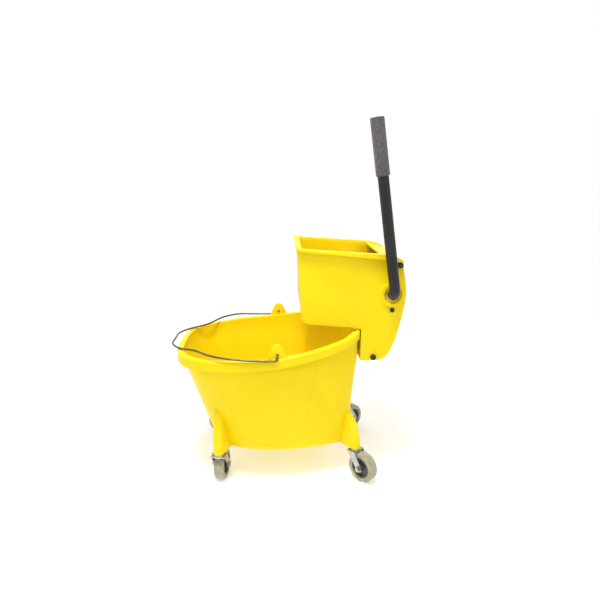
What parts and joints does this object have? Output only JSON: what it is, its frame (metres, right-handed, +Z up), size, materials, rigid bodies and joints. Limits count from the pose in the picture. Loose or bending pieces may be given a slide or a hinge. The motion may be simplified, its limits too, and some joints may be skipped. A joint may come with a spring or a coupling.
{
  "type": "mop bucket with side-press wringer",
  "caption": "Wheeled oval mop bucket with rolled rim and wire bail, carrying a lift-off lever-operated side-press wringer over its rear wall.",
  "frame": {"origin": "bottom centre of the whole object's box, on the floor under the wheels", "axes": "+X toward the wringer end, -X toward the pouring nose, -Y the side that carries the lever, +Z up"},
  "size_m": [0.59, 0.423, 0.8941],
  "materials": {
    "bucket_plastic": "satin moulded polypropylene, bright yellow",
    "wringer_plastic": "satin moulded polypropylene, bright yellow",
    "press_plastic": "satin moulded polypropylene, yellow",
    "bail_steel": "dark drawn wire",
    "lever_paint": "dark charcoal paint, satin",
    "grip_foam": "mid grey foam, matt",
    "nylon": "natural nylon",
    "cap_plastic": "black plastic",
    "cam_metal": "plain cast metal",
    "zinc_steel": "bright zinc plate",
    "dark_steel": "blackened steel",
    "spring_steel": "spring steel",
    "hub_plastic": "dark grey plastic",
    "tread_rubber": "grey non-marking rubber, matt"
  },
  "bodies": {
    "bucket": {"bucket_body": "bucket_plastic", "caster_front_left_stem": "zinc_steel", "caster_front_right_stem": "zinc_steel", "caster_rear_left_stem": "zinc_steel", "caster_rear_right_stem": "zinc_steel"},
    "bail": {"bail_wire": "bail_steel"},
    "wringer": {"wringer_housing": "wringer_plastic", "hinge_rod": "zinc_steel", "hinge_rod_nuts": "dark_steel", "tie_rod": "zinc_steel", "tie_rod_nuts": "dark_steel", "shaft_bush_near": "nylon", "shaft_bush_far": "nylon", "bush_screws": "dark_steel", "return_spring_near": "spring_steel", "return_spring_far": "spring_steel"},
    "lever": {"handle_tube": "lever_paint", "handle_grip": "grip_foam", "cam_near": "cam_metal", "cam_far": "cam_metal", "cam_pins": "dark_steel", "shaft_end_cap": "cap_plastic"},
    "press": {"press_plate": "press_plastic", "follower_pad_near": "nylon", "follower_pad_far": "nylon"},
    "caster_front_left": {"caster_front_left_fork": "zinc_steel", "caster_front_left_axle_bolt": "zinc_steel", "caster_front_left_axle_nut": "zinc_steel"},
    "wheel_front_left": {"caster_front_left_wheel_hub": "hub_plastic", "caster_front_left_wheel_tread": "tread_rubber"},
    "caster_front_right": {"caster_front_right_fork": "zinc_steel", "caster_front_right_axle_bolt": "zinc_steel", "caster_front_right_axle_nut": "zinc_steel"},
    "wheel_front_right": {"caster_front_right_wheel_hub": "hub_plastic", "caster_front_right_wheel_tread": "tread_rubber"},
    "caster_rear_left": {"caster_rear_left_fork": "zinc_steel", "caster_rear_left_axle_bolt": "zinc_steel", "caster_rear_left_axle_nut": "zinc_steel"},
    "wheel_rear_left": {"caster_rear_left_wheel_hub": "hub_plastic", "caster_rear_left_wheel_tread": "tread_rubber"},
    "caster_rear_right": {"caster_rear_right_fork": "zinc_steel", "caster_rear_right_axle_bolt": "zinc_steel", "caster_rear_right_axle_nut": "zinc_steel"},
    "wheel_rear_right": {"caster_rear_right_wheel_hub": "hub_plastic", "caster_rear_right_wheel_tread": "tread_rubber"}
  },
  "joints": [
    {"name": "bail_swing", "type": "hinge", "parent": "bucket", "child": "bail", "pos_m": [-0.0165, 0, 0.365], "axis": [0, 1, 0], "range_deg": [0, 98]},
    {"name": "wringer_lift", "type": "slide", "parent": "bucket", "child": "wringer", "axis": [0, 0, 1], "range_m": [0, 0.12]},
    {"name": "lever_turn", "type": "hinge", "parent": "wringer", "child": "lever", "pos_m": [0.262, 0, 0.49], "axis": [0, 1, 0], "range_deg": [0, 80]},
    {"name": "press_turn", "type": "hinge", "parent": "wringer", "child": "press", "pos_m": [0.2195, 0, 0.331], "axis": [0, 1, 0], "range_deg": [-18, 0], "stiffness_Nm_per_rad": 8, "springref_deg": 20.05, "deforming": ["return_spring_near", "return_spring_far"]},
    {"name": "swivel_front_left", "type": "hinge", "parent": "bucket", "child": "caster_front_left", "pos_m": [-0.1695, -0.145, 0.078], "axis": [0, 0, 1], "continuous": true},
    {"name": "roll_front_left", "type": "hinge", "parent": "caster_front_left", "child": "wheel_front_left", "pos_m": [-0.16512, -0.11735, 0.0381], "axis": [-0.9877, 0.1564, 0], "continuous": true},
    {"name": "swivel_front_right", "type": "hinge", "parent": "bucket", "child": "caster_front_right", "pos_m": [-0.1695, 0.145, 0.078], "axis": [0, 0, 1], "continuous": true},
    {"name": "roll_front_right", "type": "hinge", "parent": "caster_front_right", "child": "wheel_front_right", "pos_m": [-0.19581, 0.13542, 0.0381], "axis": [0.342, -0.9397, 0], "continuous": true},
    {"name": "swivel_rear_left", "type": "hinge", "parent": "bucket", "child": "caster_rear_left", "pos_m": [0.1815, -0.124, 0.078], "axis": [0, 0, 1], "continuous": true},
    {"name": "roll_rear_left", "type": "hinge", "parent": "caster_rear_left", "child": "wheel_rear_left", "pos_m": [0.20024, -0.14481, 0.0381], "axis": [0.7431, 0.6691, 0], "continuous": true},
    {"name": "swivel_rear_right", "type": "hinge", "parent": "bucket", "child": "caster_rear_right", "pos_m": [0.1815, 0.124, 0.078], "axis": [0, 0, 1], "continuous": true},
    {"name": "roll_rear_right", "type": "hinge", "parent": "caster_rear_right", "child": "wheel_rear_right", "pos_m": [0.20356, 0.14124, 0.0381], "axis": [-0.6157, 0.788, 0], "continuous": true}
  ],
  "couplings": [
    {"joint": "press_turn", "follows": "lever_turn", "ratio": -0.225}
  ]
}
